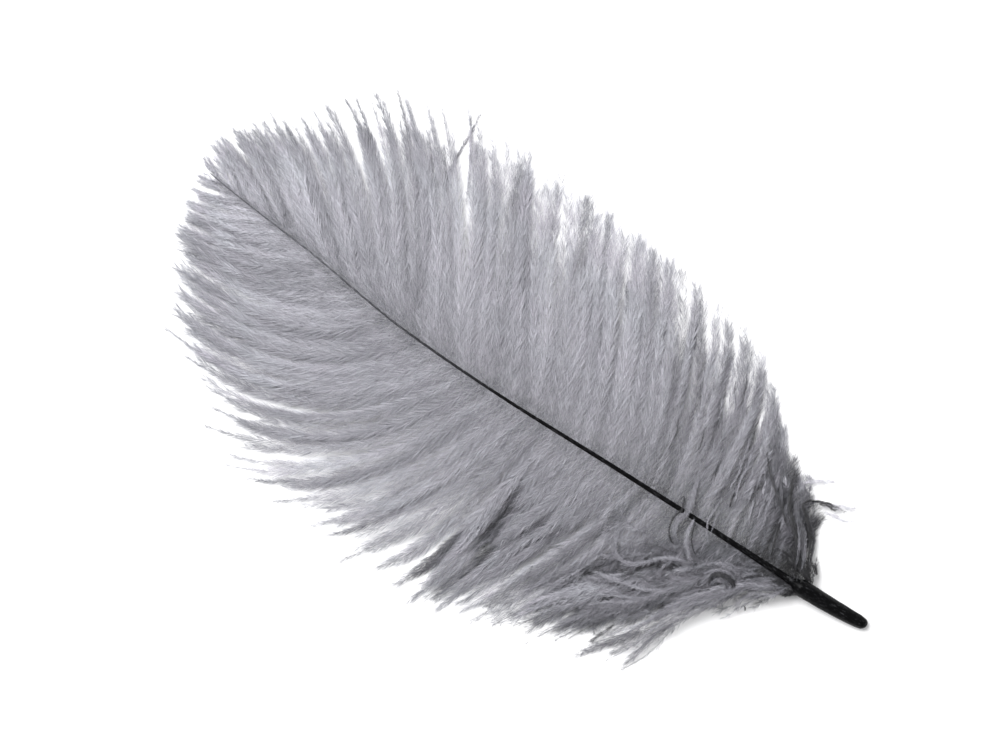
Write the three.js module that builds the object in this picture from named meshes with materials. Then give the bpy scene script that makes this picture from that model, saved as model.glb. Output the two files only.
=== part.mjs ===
// An ostrich body plume, 160 mm long, lying on its underside on a flat surface.
// The shaft arches over the surface. On each side a loose web of barbs droops from it and comes to
// rest along its outer edge, and a tuft of longer down grows at its base. A web is one closed sheet:
// its columns are barbs, which run from the shaft to the tips of the locks they gather into.
//
// Millimetres. A station is a distance along +X from the end of the quill, +Y is the side of the
// left web, +Z is up. The group is placed so that the middle of the part's base is the origin.

import * as THREE from "three";

// Driving dimensions
const FEATHER_LENGTH = 160;
const SHAFT_LENGTH = 157;
const QUILL_RADIUS = 1.75;
const QUILL_LENGTH = 15.5;
const RACHIS_HEIGHT = 1.2; // times its width
const WEB_GAP = 0.3; // between the shaft's side and the first of a web
const NOTCH = 0.88; // how far along a barb the gap between two locks reaches
const LANDING = 0.86; // how far along a barb it comes down on the surface
const VANE_THICKNESS = 2.3;
const DOWN_THICKNESS = 3.2;
const ROOT_THICKNESS = 0.9;
const EDGE_THICKNESS = 0.8;

// The shaft's middle line: sideways place and height at every tenth millimetre of station
const ROUTE_STEP = 10;
const SHAFT_ROUTE = [
  [0.2, 1.15],
  [1.15, 2.2],
  [1.5, 4.0],
  [1.8, 6.0],
  [2.1, 7.7],
  [2.5, 9.0],
  [2.9, 9.8],
  [3.4, 10.2],
  [3.9, 10.2],
  [4.2, 9.8],
  [4.3, 9.0],
  [4.1, 7.8],
  [3.3, 6.4],
  [2.3, 5.0],
  [1.8, 3.7],
  [1.25, 2.6],
  [0.4, 1.7],
];

// The shaft's radius by station: a bare quill that narrows quickly into the rachis
const SHAFT_RADIUS = [
  [0.15, 0],
  [0.3, 0.7],
  [0.9, 1.1],
  [2, 1.34],
  [5, 1.5],
  [10, 1.66],
  [14.5, QUILL_RADIUS],
  [QUILL_LENGTH, QUILL_RADIUS],
  [16.2, 1.4],
  [17.2, 1.0],
  [19, 0.72],
  [24, 0.62],
  [32, 0.56],
  [40, 0.5],
  [50, 0.46],
  [60, 0.42],
  [70, 0.38],
  [80, 0.33],
  [90, 0.29],
  [100, 0.26],
  [110, 0.23],
  [120, 0.2],
  [130, 0.17],
  [140, 0.15],
  [150, 0.13],
  [156.5, 0.09],
  [SHAFT_LENGTH, 0],
];
const SHAFT_SIDES = 16;

// Locks of barbs, from the quill to the tip: station of the root, station of the tip, and how far
// out the tip reaches. A barb's angles, in degrees out from +X, are given where it leaves the shaft
// and at its tip, by station of its root.
const LEFT_VANE = {
  side: 1,
  thickness: VANE_THICKNESS,
  locks: [
    [49.5, 61.5, 43.0],
    [52.5, 65.0, 44.2],
    [56.0, 69.5, 44.2],
    [60.0, 73.0, 45.4],
    [64.5, 76.6, 47.4],
    [68.5, 81.0, 46.2],
    [71.5, 86.2, 45.8],
    [74.5, 92.4, 48.6],
    [77.5, 98.2, 47.4],
    [80.0, 104.0, 47.6],
    [82.5, 109.6, 47.4],
    [84.5, 115.0, 46.0],
    [86.8, 121.0, 44.0],
    [89.0, 126.5, 41.0],
    [91.2, 132.0, 38.0],
    [93.5, 137.5, 35.0],
    [96.0, 142.5, 32.6],
    [99.0, 147.0, 30.0],
    [103.0, 147.9, 25.8],
    [107.5, 149.2, 23.2],
    [112.5, 150.8, 20.4],
    [118.0, 153.0, 17.2],
    [124.0, 155.4, 14.4],
    [130.5, 157.0, 11.4],
    [137.0, 158.2, 8.2],
    [143.0, 158.9, 5.5],
    [149.0, 159.5, 3.1],
    [154.5, 160.0, 1.3],
  ],
  rootAngle: [
    [49, 84],
    [60, 78],
    [75, 72],
    [90, 67],
    [105, 61],
    [115, 52],
    [125, 38],
    [140, 27],
    [155, 10],
  ],
  tipAngle: [
    [49, 70],
    [66, 70],
    [74, 56],
    [80, 42],
    [86, 22],
    [91, 2],
    [97, -4],
    [112, -3],
    [120, 0],
    [130, 9],
    [138, 13],
    [155, 2],
  ],
};

const RIGHT_VANE = {
  side: -1,
  thickness: VANE_THICKNESS,
  locks: [
    [29.5, 35.5, 23.8],
    [32.0, 39.0, 25.8],
    [34.5, 43.0, 27.2],
    [37.0, 47.2, 29.4],
    [40.0, 51.5, 30.6],
    [43.5, 56.0, 31.4],
    [47.0, 60.8, 31.8],
    [50.0, 65.0, 33.4],
    [53.0, 69.5, 35.2],
    [56.5, 74.0, 35.8],
    [61.5, 80.5, 36.8],
    [66.5, 87.5, 37.3],
    [71.5, 93.0, 38.2],
    [76.0, 99.0, 38.3],
    [80.0, 104.5, 36.8],
    [84.0, 108.8, 37.4],
    [87.5, 112.6, 38.2],
    [90.5, 117.6, 37.4],
    [93.0, 122.6, 38.0],
    [96.0, 127.0, 35.4],
    [99.5, 131.5, 34.0],
    [103.0, 135.6, 32.6],
    [106.5, 139.4, 30.3],
    [110.0, 142.9, 26.8],
    [113.5, 145.8, 23.4],
    [117.5, 148.6, 19.4],
    [122.0, 151.6, 15.6],
    [127.0, 154.2, 12.8],
    [132.5, 156.4, 10.2],
    [138.0, 158.2, 7.6],
    [143.5, 159.3, 5.0],
    [149.0, 159.8, 2.6],
    [154.5, 160.0, 0.2],
  ],
  rootAngle: [
    [29, 74],
    [45, 80],
    [60, 72],
    [75, 65],
    [95, 54],
    [115, 43],
    [135, 33],
    [150, 20],
    [155, 8],
  ],
  tipAngle: [
    [29, 40],
    [38, 50],
    [47, 57],
    [62, 58],
    [80, 62],
    [88, 52],
    [95, 44],
    [103, 38],
    [111, 28],
    [120, 23],
    [132, 19],
    [155, 8],
  ],
};

const LEFT_DOWN = {
  side: 1,
  thickness: DOWN_THICKNESS,
  locks: [
    [17.0, 21.6, 11.4],
    [19.0, 24.6, 16.0],
    [21.5, 29.0, 21.5],
    [24.5, 32.6, 27.6],
    [28.0, 36.4, 32.6],
    [32.0, 40.4, 34.6],
    [36.0, 44.6, 36.8],
    [40.0, 49.4, 37.6],
    [44.0, 54.0, 41.0],
    [48.3, 59.6, 41.8],
  ],
  rootAngle: [
    [17, 42],
    [24, 55],
    [32, 72],
    [48, 83],
  ],
  tipAngle: [
    [17, 78],
    [26, 70],
    [36, 68],
    [48, 64],
  ],
};

const RIGHT_DOWN = {
  side: -1,
  thickness: DOWN_THICKNESS,
  locks: [
    [17.0, 17.6, 15.6],
    [19.5, 21.2, 18.4],
    [22.0, 25.2, 19.8],
    [25.0, 28.9, 20.6],
    [28.3, 33.2, 22.6],
  ],
  rootAngle: [
    [17, 62],
    [28, 73],
  ],
  tipAngle: [
    [17, 112],
    [22, 80],
    [28, 50],
  ],
};

const ROWS = 8; // of faces from a web's root to its edge

const keratin = new THREE.MeshStandardMaterial({ color: 0x1d1c1e, roughness: 0.42, metalness: 0 });
const dyedBarb = new THREE.MeshStandardMaterial({ color: 0xa9a8ae, roughness: 0.9, metalness: 0 });
const dyedDown = new THREE.MeshStandardMaterial({ color: 0x77767c, roughness: 0.95, metalness: 0 });

const shaftLine = new THREE.CatmullRomCurve3(
  SHAFT_ROUTE.map(([y, z], i) => new THREE.Vector3(i * ROUTE_STEP, y, z)),
  false,
  "catmullrom",
  0.5,
);

// The point on the shaft's middle line at a station. The route's points are evenly spaced along X.
function shaftAt(station) {
  return shaftLine.getPoint(station / FEATHER_LENGTH);
}

// The value of a table of [station, value] rows at a station, in straight steps between the rows.
function valueAt(table, station) {
  const next = table.findIndex(([s]) => s >= station);
  if (next === -1) return table[table.length - 1][1];
  if (next === 0) return table[0][1];
  const [s0, v0] = table[next - 1];
  const [s1, v1] = table[next];
  return THREE.MathUtils.mapLinear(station, s0, s1, v0, v1);
}

// The shaft: a lathe turned about X, with each ring moved onto the middle line.
// The rachis is taller than it is wide, and the quill is round.
function makeShaft() {
  const profile = SHAFT_RADIUS.map(([station, radius]) => new THREE.Vector2(radius, station));
  const geometry = new THREE.LatheGeometry(profile, SHAFT_SIDES);
  geometry.rotateZ(-Math.PI / 2);
  const position = geometry.attributes.position;
  for (let i = 0; i < position.count; i++) {
    const station = position.getX(i);
    const centre = shaftAt(station);
    const height = station > QUILL_LENGTH ? RACHIS_HEIGHT : 1;
    position.setY(i, position.getY(i) + centre.y);
    position.setZ(i, position.getZ(i) * height + centre.z);
  }
  return named("shaft", geometry, keratin);
}

// One barb's path seen from above, from the shaft's side to its tip.
function barbPath(web, root, tipStation, reach) {
  const start = new THREE.Vector2(
    root,
    shaftAt(root).y + web.side * (valueAt(SHAFT_RADIUS, root) + WEB_GAP),
  );
  const tip = new THREE.Vector2(tipStation, web.side * reach);
  const handle = start.distanceTo(tip) * 0.36;
  const direction = (degrees) => {
    const angle = web.side * THREE.MathUtils.degToRad(degrees);
    return new THREE.Vector2(Math.cos(angle), Math.sin(angle)).multiplyScalar(handle);
  };
  const leaving = start.clone().add(direction(valueAt(web.rootAngle, root)));
  const arriving = tip.clone().sub(direction(valueAt(web.tipAngle, root)));
  return new THREE.CubicBezierCurve(start, leaving, arriving, tip);
}

// The barbs of a web's columns: one at each lock, and a shorter one in the notch between two locks.
function webColumns(web) {
  const columns = [];
  web.locks.forEach(([root, tipStation, reach], i) => {
    if (i > 0) {
      const [root0, tipStation0, reach0] = web.locks[i - 1];
      const between = barbPath(
        web,
        (root0 + root) / 2,
        (tipStation0 + tipStation) / 2,
        (reach0 + reach) / 2,
      );
      columns.push({ root: (root0 + root) / 2, path: between, share: NOTCH });
    }
    columns.push({ root, path: barbPath(web, root, tipStation, reach), share: 1 });
  });
  return columns;
}

// A web: a flat grid box whose columns are laid along the barbs. It leaves the shaft at the height
// of its middle, droops, and lies flat on the surface from LANDING to its edge.
function makeWeb(name, web, material) {
  const columns = webColumns(web);
  const last = columns.length - 1;
  const geometry = new THREE.BoxGeometry(1, 1, 1, last, ROWS, 1);
  const position = geometry.attributes.position;
  for (let i = 0; i < position.count; i++) {
    const along = Math.round((position.getX(i) + 0.5) * last);
    const out = position.getY(i) + 0.5;
    const top = position.getZ(i) > 0;
    const column = columns[web.side > 0 ? along : last - along];
    const share = out * column.share;
    const place = column.path.getPoint(share);
    position.setXYZ(i, place.x, place.y, webHeight(web, column.root, share, top));
  }
  return named(name, geometry, material);
}

// The height of a web's underside or top at a share of the way from the shaft to the edge.
function webHeight(web, root, share, top) {
  const middle = THREE.MathUtils.smoothstep(share, 0, 0.3);
  const edge = THREE.MathUtils.smoothstep(share, 0.6, 1);
  const bulk = THREE.MathUtils.lerp(ROOT_THICKNESS, web.thickness, middle);
  const thickness = THREE.MathUtils.lerp(bulk, EDGE_THICKNESS, edge);
  const droop = Math.cos((Math.PI / 2) * Math.min(share / LANDING, 1)) ** 2;
  const underside = Math.max(shaftAt(root).z * droop - thickness / 2, 0);
  return top ? underside + thickness : underside;
}

function named(name, geometry, material) {
  geometry.computeVertexNormals();
  const mesh = new THREE.Mesh(geometry, material);
  mesh.name = name;
  return mesh;
}

const feather = new THREE.Group();
feather.add(
  makeShaft(),
  makeWeb("left_vane", LEFT_VANE, dyedBarb),
  makeWeb("right_vane", RIGHT_VANE, dyedBarb),
  makeWeb("left_down", LEFT_DOWN, dyedDown),
  makeWeb("right_down", RIGHT_DOWN, dyedDown),
);

// The origin goes to the middle of the base of the part's box.
const box = new THREE.Box3().setFromObject(feather, true);
const centre = box.getCenter(new THREE.Vector3());
feather.position.set(-centre.x, -centre.y, -box.min.z);

export default feather;
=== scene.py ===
# An ostrich body plume, dyed grey, lying on its underside on a pale table.
# The quill and the rachis are one black rod. On each side of it grow loose barbs, about one for every
# 0.74 mm, and every barb carries two rows of long soft barbules. The barbs gather into locks, which are
# blunt and fuzzy beside the quill's half of the plume and slender beside its tip.
# At the base long downy barbs sweep over the shorter ones, and small tufts curl over them and the rachis.
#
# Lengths are millimetres until a mesh is made. A station is a distance along the plume from the end
# of its quill, out is a distance from the plume's axis, and side is 1 for the left web, -1 for the right.

import math

import bpy
import numpy as np
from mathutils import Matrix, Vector


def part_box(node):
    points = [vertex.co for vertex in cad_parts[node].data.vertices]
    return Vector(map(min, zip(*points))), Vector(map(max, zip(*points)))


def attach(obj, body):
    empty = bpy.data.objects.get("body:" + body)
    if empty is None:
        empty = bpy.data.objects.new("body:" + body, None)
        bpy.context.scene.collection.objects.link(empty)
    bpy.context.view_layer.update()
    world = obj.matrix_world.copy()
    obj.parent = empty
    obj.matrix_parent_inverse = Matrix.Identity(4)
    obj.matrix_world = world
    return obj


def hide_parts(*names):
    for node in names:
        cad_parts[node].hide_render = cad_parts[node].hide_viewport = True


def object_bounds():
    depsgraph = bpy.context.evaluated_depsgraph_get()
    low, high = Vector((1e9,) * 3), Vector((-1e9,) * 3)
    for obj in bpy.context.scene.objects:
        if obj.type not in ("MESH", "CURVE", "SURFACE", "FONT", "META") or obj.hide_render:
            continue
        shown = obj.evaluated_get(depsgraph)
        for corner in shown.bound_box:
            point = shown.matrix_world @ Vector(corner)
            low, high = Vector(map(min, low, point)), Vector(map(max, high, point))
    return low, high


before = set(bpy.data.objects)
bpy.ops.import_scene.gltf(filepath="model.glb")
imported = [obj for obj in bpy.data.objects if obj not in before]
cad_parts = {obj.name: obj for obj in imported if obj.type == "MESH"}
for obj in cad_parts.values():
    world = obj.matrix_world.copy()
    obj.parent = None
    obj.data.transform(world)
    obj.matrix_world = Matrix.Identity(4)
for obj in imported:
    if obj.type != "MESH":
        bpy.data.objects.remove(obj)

CAD_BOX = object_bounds()
MM = 0.001

# ---- the plume's own frame

LEFT, RIGHT = 1, -1
QUILL_END = 0.15  # station of the closed end of the quill
WIDEST_RIGHT = 38.3  # how far out the right web of the frame reaches

shaft_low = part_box("shaft")[0]
ORIGIN = np.array([shaft_low.x / MM - QUILL_END, CAD_BOX[0].y / MM + WIDEST_RIGHT, 0.0])


def rings_of_shaft():
    """The middle and the radius of each ring of the frame's shaft, by station."""
    points = np.array([v.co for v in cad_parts["shaft"].data.vertices]) / MM - ORIGIN
    stations = np.unique(points[:, 0].round(2))
    rings = [points[np.abs(points[:, 0] - s) < 0.02] for s in stations]
    low = np.array([r.min(axis=0) for r in rings])
    high = np.array([r.max(axis=0) for r in rings])
    return stations, (low + high) / 2, (high[:, 1] - low[:, 1]) / 2


RING_STATIONS, RING_MIDDLES, RING_RADII = rings_of_shaft()


def smooth_curve(at, xs, ys):
    """A smooth curve through points, read at many places."""
    slopes = np.gradient(ys, xs)
    i = np.clip(np.searchsorted(xs, at) - 1, 0, len(xs) - 2)
    step = xs[i + 1] - xs[i]
    t = np.clip((at - xs[i]) / step, 0, 1)
    start = (1 + 2 * t) * (1 - t) ** 2 * ys[i] + t * (1 - t) ** 2 * step * slopes[i]
    end = t**2 * (3 - 2 * t) * ys[i + 1] + t**2 * (t - 1) * step * slopes[i + 1]
    return start + end


def shaft_out(station):
    return smooth_curve(station, RING_STATIONS, RING_MIDDLES[:, 1])


def shaft_height(station):
    return smooth_curve(station, RING_STATIONS, RING_MIDDLES[:, 2])


def shaft_radius(station):
    return np.interp(station, RING_STATIONS, RING_RADII)


def table_value(table, at):
    """The value of a table of (place, value) rows, in straight steps between the rows."""
    rows = np.array(table)
    return np.interp(at, rows[:, 0], rows[:, 1])


def fade(at, start, end):
    """Rises smoothly from 0 at start to 1 at end."""
    t = np.clip((at - start) / (end - start), 0, 1)
    return t * t * (3 - 2 * t)


# ---- locks and webs

# The locks of each web, from the quill to the tip: station of the root, station and distance out of
# the tip, and fullness, which is 1 where all its barbs reach the tip and 0 where a single hair does.
RIGHT_LOCKS = [
    (29.5, 36.5, 22.6, 0.9), (32, 38.8, 24.4, 0.9), (34.5, 41.6, 26.8, 0.9), (37, 44.8, 29.4, 0.9),
    (39.5, 48, 31.4, 0.9), (41.5, 51, 32.4, 0.9), (43.6, 54, 33, 0.9), (45.3, 57.5, 33.3, 0.9),
    (47.2, 61, 33.6, 0.9), (49.2, 65, 35.2, 0.9), (51.5, 69, 36.4, 0.9), (54, 73, 36.8, 0.9),
    (57.5, 76.5, 36.8, 0.9), (62.5, 81, 37.4, 0.8), (67.5, 87.8, 37, 1), (72.5, 92.4, 38.1, 1),
    (76, 98.9, 38.3, 0.8), (78.3, 101.2, 35, 0.9), (81, 105.2, 35.4, 0.9), (83.6, 107.5, 37.5, 0.8),
    (85.6, 109, 37.6, 0.6), (88, 112.5, 38.3, 0.5), (89.6, 115.4, 36.4, 0.7), (91.2, 118, 37, 0.6),
    (93.4, 122.5, 39, 0.1), (95.2, 126.8, 35.2, 0.5), (97.2, 129, 34.5, 0.5), (99.5, 131.5, 31.8, 0.5),
    (101.2, 133.5, 33.5, 0.5), (103.8, 135.2, 33, 0.4), (105.5, 137, 30.5, 0.5), (107.4, 139.3, 30.3, 0.8),
    (109.6, 143, 27.4, 0.3), (111.3, 143, 26.4, 0.5), (113.4, 145.7, 23.6, 0.8), (116.2, 148.3, 20.8, 0.4),
    (119, 148.7, 19, 0.7), (122, 151.4, 16.2, 0.6), (124.5, 152.8, 15.4, 0.7), (127.5, 154.4, 13.2, 0.8),
    (130.5, 155.6, 12, 0.8), (133, 156.5, 10.8, 0.8), (135.2, 157.4, 9.4, 0.8), (137.4, 158.2, 8.2, 0.8),
    (140, 158.9, 6.9, 0.8), (143.5, 159.4, 5.4, 0.9), (147.5, 159.4, 3.6, 0.9), (151, 159.2, 1.8, 0.9),
    (154.5, 158.8, 0.2, 0.9),
]
LEFT_LOCKS = [
    (48.7, 60.6, 41.4, 0.8), (50.7, 64, 43.5, 0.6), (54, 68, 43.6, 0.8), (57, 71.5, 45.5, 0.7),
    (60.5, 73.5, 45, 0.8), (65, 76.5, 47.8, 0.6), (70, 81, 46.5, 0.7), (72.5, 86, 45.5, 0.7),
    (74.5, 92.5, 48.5, 0.4), (76.8, 98, 47, 0.4), (79.2, 101, 46.5, 0.5), (81.6, 110, 47.3, 0.3),
    (83.4, 114.5, 45, 0.5), (84.6, 115, 46.3, 0.3), (85.6, 121.5, 44, 0.5), (86.4, 122, 46, 0.1),
    (87.6, 131, 42.3, 0.1), (88.7, 124.5, 38.2, 0.8), (89.8, 130.7, 38.5, 0.1), (90.8, 128.5, 35.6, 0.8),
    (91.8, 134.7, 35.7, 0), (92.8, 133.5, 33.2, 0.8), (93.9, 140.6, 33.6, 0), (95, 138.5, 30.8, 0.8),
    (96.6, 147.2, 30.2, 0), (98.4, 143.5, 28.8, 0.8), (100.2, 146.5, 27.6, 0.6), (102.6, 147.5, 25.8, 0.8),
    (105.6, 148.8, 23.5, 0.9), (108.6, 150.5, 21.3, 0.6), (112.6, 151.5, 19, 0.7), (117, 153, 16.5, 0.8),
    (121.5, 154.8, 14.6, 0.8), (126, 155.6, 13, 0.8), (131, 156.4, 11.4, 0.8), (136, 157, 9.4, 0.7),
    (141, 157.4, 7.4, 0.8), (146.5, 158, 5, 0.8), (151, 158.4, 2.8, 0.9), (155, 158.6, 1.4, 0.9),
]
# Short barbs of the left base, which the long downy ones cover; their darker tone is painted shade under the
# down
UNDER_LOCKS = [
    (24.5, 31, 17.5, 0.7), (28, 36, 24.5, 0.7), (32, 40.4, 29.5, 0.7), (36, 44.6, 33, 0.7),
    (40, 49.4, 36.5, 0.7), (44, 54, 39.5, 0.7), (48.3, 59.6, 41, 0.7),
]
# Long downy barbs of the left base, which sweep over them
SWEEPING_LOCKS = [
    (15.9, 20.6, 9.4, 0.6), (16.3, 24, 15, 0.6), (16.8, 30, 19.6, 0.7), (17.3, 33.6, 25, 0.7),
    (17.8, 35.4, 34.2, 0.3), (18.2, 38.4, 34.4, 0.4), (18.8, 43.7, 38, 0.5), (19.8, 46, 35, 0.8),
    (20.7, 49, 36.6, 0.7), (21.8, 52.5, 42, 0.6), (23, 58, 40.6, 0.8), (24.6, 61, 42.6, 0.5),
    (26.2, 57, 35, 0.6), (28, 54, 28, 0.5), (30, 52, 22, 0.5),
]
RIGHT_BASE_LOCKS = [
    (17.5, 19.2, 11.8, 0.9), (19.5, 22.6, 13.8, 0.9), (22, 26.2, 16, 0.9), (25, 30.6, 18.4, 0.9),
    (28, 35, 20.6, 0.9),
]

# What each web's barbs are like, by station of their root. The angles are degrees out from the tip's
# direction. Contrast is how much the tone varies from barb to barb. Gather is how closely a lock's
# barbs come together, and notch is how deep the gap between two locks is. Fluff is the length of the
# barbules, blunt is the share of it left at a barb's tip, thin is how much sparser they are there, and
# splay is how many degrees further they lean out there.
# Spike is how far a barb's tip draws together to a point, which is darkened with painted shade. Crisp is how
# far the barbs' stems stand out of the web, with painted sheen on the stems and painted shade on the
# barbules beside them, and it ends between two places along them. Near the shaft the barbs are darker:
# painted shade beside the rachis.
RIGHT_WEB = {
    "side": RIGHT,
    "roots": (28.6, 155.0),
    "locks": RIGHT_LOCKS,
    "root_angle": [(29, 74), (45, 80), (60, 72), (75, 65), (95, 54), (115, 43), (135, 33), (148, 24),
                   (155, 12)],
    "tip_angle": [(29, 44), (38, 50), (47, 57), (62, 60), (80, 64), (88, 54), (95, 44), (103, 38), (111, 28),
                  (120, 23), (132, 19), (155, 8)],
    "painted_shaft_shade": 0.10,
    "tone": [(28, 0.44), (36, 0.53), (50, 0.62), (70, 0.68), (95, 0.69), (115, 0.67), (156, 0.66)],
    "contrast": [(28, 2.2), (50, 1.8), (70, 1.2), (156, 0.9)],
    "gather": [(28, 0.05), (75, 0.1), (88, 0.22), (98, 0.40), (125, 0.42), (140, 0.2), (156, 0.1)],
    "notch": [(28, 0.6), (60, 0.9), (75, 1.3), (90, 1.6), (100, 3.0), (112, 3.4), (130, 1.6), (145, 0.8),
              (156, 0.5)],
    "fluff": [(28, 2.4), (50, 3.3), (70, 3.7), (110, 3.8), (130, 3.0), (145, 2.0), (156, 1.0)],
    "splay": [(28, 6), (40, 9), (75, 8), (92, 3), (156, 2)],
    "blunt": [(28, 1.0), (70, 1.0), (86, 0.95), (95, 0.6), (125, 0.5), (140, 0.8), (156, 0.8)],
    "thin": [(28, 0.6), (60, 0.55), (90, 0.45), (125, 0.45), (140, 0.5), (156, 0.5)],
    "spike": [(28, 0.0), (86, 0.0), (95, 0.5), (125, 0.6), (140, 0.25), (156, 0.2)],
    "crisp": [(28, 0.35), (45, 0.4), (70, 0.3), (156, 0.3)],
    "crisp_ends": (0.25, 0.7),
}
LEFT_WEB = {
    "side": LEFT,
    "roots": (48.6, 155.0),
    "locks": LEFT_LOCKS,
    "root_angle": [(49, 84), (60, 78), (75, 72), (90, 67), (105, 61), (115, 52), (125, 38), (140, 27),
                   (155, 12)],
    "tip_angle": [(49, 70), (66, 70), (74, 56), (80, 42), (86, 22), (91, 2), (97, -4), (112, -3), (120, 0),
                  (130, 9), (138, 13), (155, 6)],
    "painted_shaft_shade": 0.05,
    "tone": [(48, 0.58), (60, 0.64), (80, 0.67), (100, 0.66), (120, 0.65), (156, 0.65)],
    "contrast": [(48, 1.7), (80, 1.4), (100, 1.0), (156, 1.0)],
    "gather": [(48, 0.3), (75, 0.35), (84, 0.42), (89, 0.25), (92, 0.1), (98, 0.2), (104, 0.35), (112, 0.15),
               (156, 0.1)],
    "notch": [(48, 1.6), (75, 2.0), (88, 2.2), (92, 1.0), (98, 1.6), (104, 2.6), (112, 1.2), (145, 0.7),
              (156, 0.5)],
    "fluff": [(48, 3.2), (90, 3.8), (108, 3.6), (125, 2.8), (140, 2.0), (156, 1.0)],
    "splay": [(48, 4), (156, 2)],
    "blunt": [(48, 0.85), (80, 0.75), (100, 0.9), (156, 0.9)],
    "thin": [(48, 0.6), (75, 0.55), (100, 0.4), (125, 0.45), (156, 0.5)],
    "spike": [(48, 0.3), (80, 0.5), (100, 0.35), (120, 0.2), (156, 0.2)],
    "crisp": [(48, 0.45), (95, 0.4), (120, 0.4), (156, 0.3)],
    "crisp_ends": (0.08, 0.34),
}
UNDER_WEB = {
    "side": LEFT,
    "roots": (22.0, 48.6),
    "locks": UNDER_LOCKS,
    "root_angle": [(22, 55), (32, 72), (48, 83)],
    "tip_angle": [(22, 70), (36, 68), (48, 64)],
    "painted_shaft_shade": 0.05,
    # a darker tone than the webs': painted shade under the long down
    "tone": [(22, 0.40), (30, 0.46), (40, 0.50), (48, 0.57)],
    "contrast": [(22, 2.0), (48, 1.7)],
    "gather": [(22, 0.3), (48, 0.3)],
    "notch": [(22, 2.0), (48, 2.0)],
    "fluff": [(22, 2.6), (48, 3.0)],
    "splay": [(22, 4), (48, 4)],
    "blunt": [(22, 0.9), (48, 0.8)],
    "thin": [(22, 0.6), (48, 0.6)],
    "spike": [(22, 0.2), (48, 0.3)],
    "crisp": [(22, 0.2), (48, 0.45)],
    "crisp_ends": (0.08, 0.34),
}
SWEEPING_WEB = {
    "side": LEFT,
    "roots": (15.8, 30.5),
    "locks": SWEEPING_LOCKS,
    "root_angle": [(16, 38), (20, 34), (31, 24)],
    "tip_angle": [(16, 84), (18, 66), (25, 56), (30, 50)],
    "painted_shaft_shade": 0.10,
    "tone": [(16, 0.43), (20, 0.53), (30, 0.56)],
    "contrast": [(16, 2.2), (30, 2.0)],
    "gather": [(16, 0.3), (30, 0.3)],
    "notch": [(16, 2.0), (30, 2.0)],
    "fluff": [(16, 1.6), (20, 2.1), (30, 2.4)],
    "splay": [(16, 0), (30, 0)],
    "blunt": [(16, 0.9), (17.5, 0.5), (30, 0.6)],
    "thin": [(16, 0.6), (30, 0.5)],
    "spike": [(16, 0.1), (17.5, 0.5), (30, 0.4)],
    "crisp": [(16, 0.5), (30, 0.4)],
    "crisp_ends": (0.1, 0.4),
}
RIGHT_BASE_WEB = {
    "side": RIGHT,
    "roots": (16.4, 28.6),
    "locks": RIGHT_BASE_LOCKS,
    "root_angle": [(17, 64), (28, 76)],
    "tip_angle": [(17, 95), (22, 70), (28, 50)],
    "painted_shaft_shade": 0.06,
    "tone": [(16, 0.30), (20, 0.38), (24, 0.43), (28, 0.45)],
    "contrast": [(16, 2.0), (28, 2.0)],
    "gather": [(16, 0.1), (28, 0.1)],
    "notch": [(16, 0.6), (28, 0.6)],
    "fluff": [(16, 2.4), (28, 2.6)],
    "splay": [(16, 6), (28, 10)],
    "blunt": [(16, 0.9), (28, 0.9)],
    "thin": [(16, 0.7), (28, 0.7)],
    "spike": [(16, 0.0), (28, 0.0)],
    "crisp": [(16, 0.0), (28, 0.3)],
    "crisp_ends": (0.3, 0.6),
}
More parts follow.
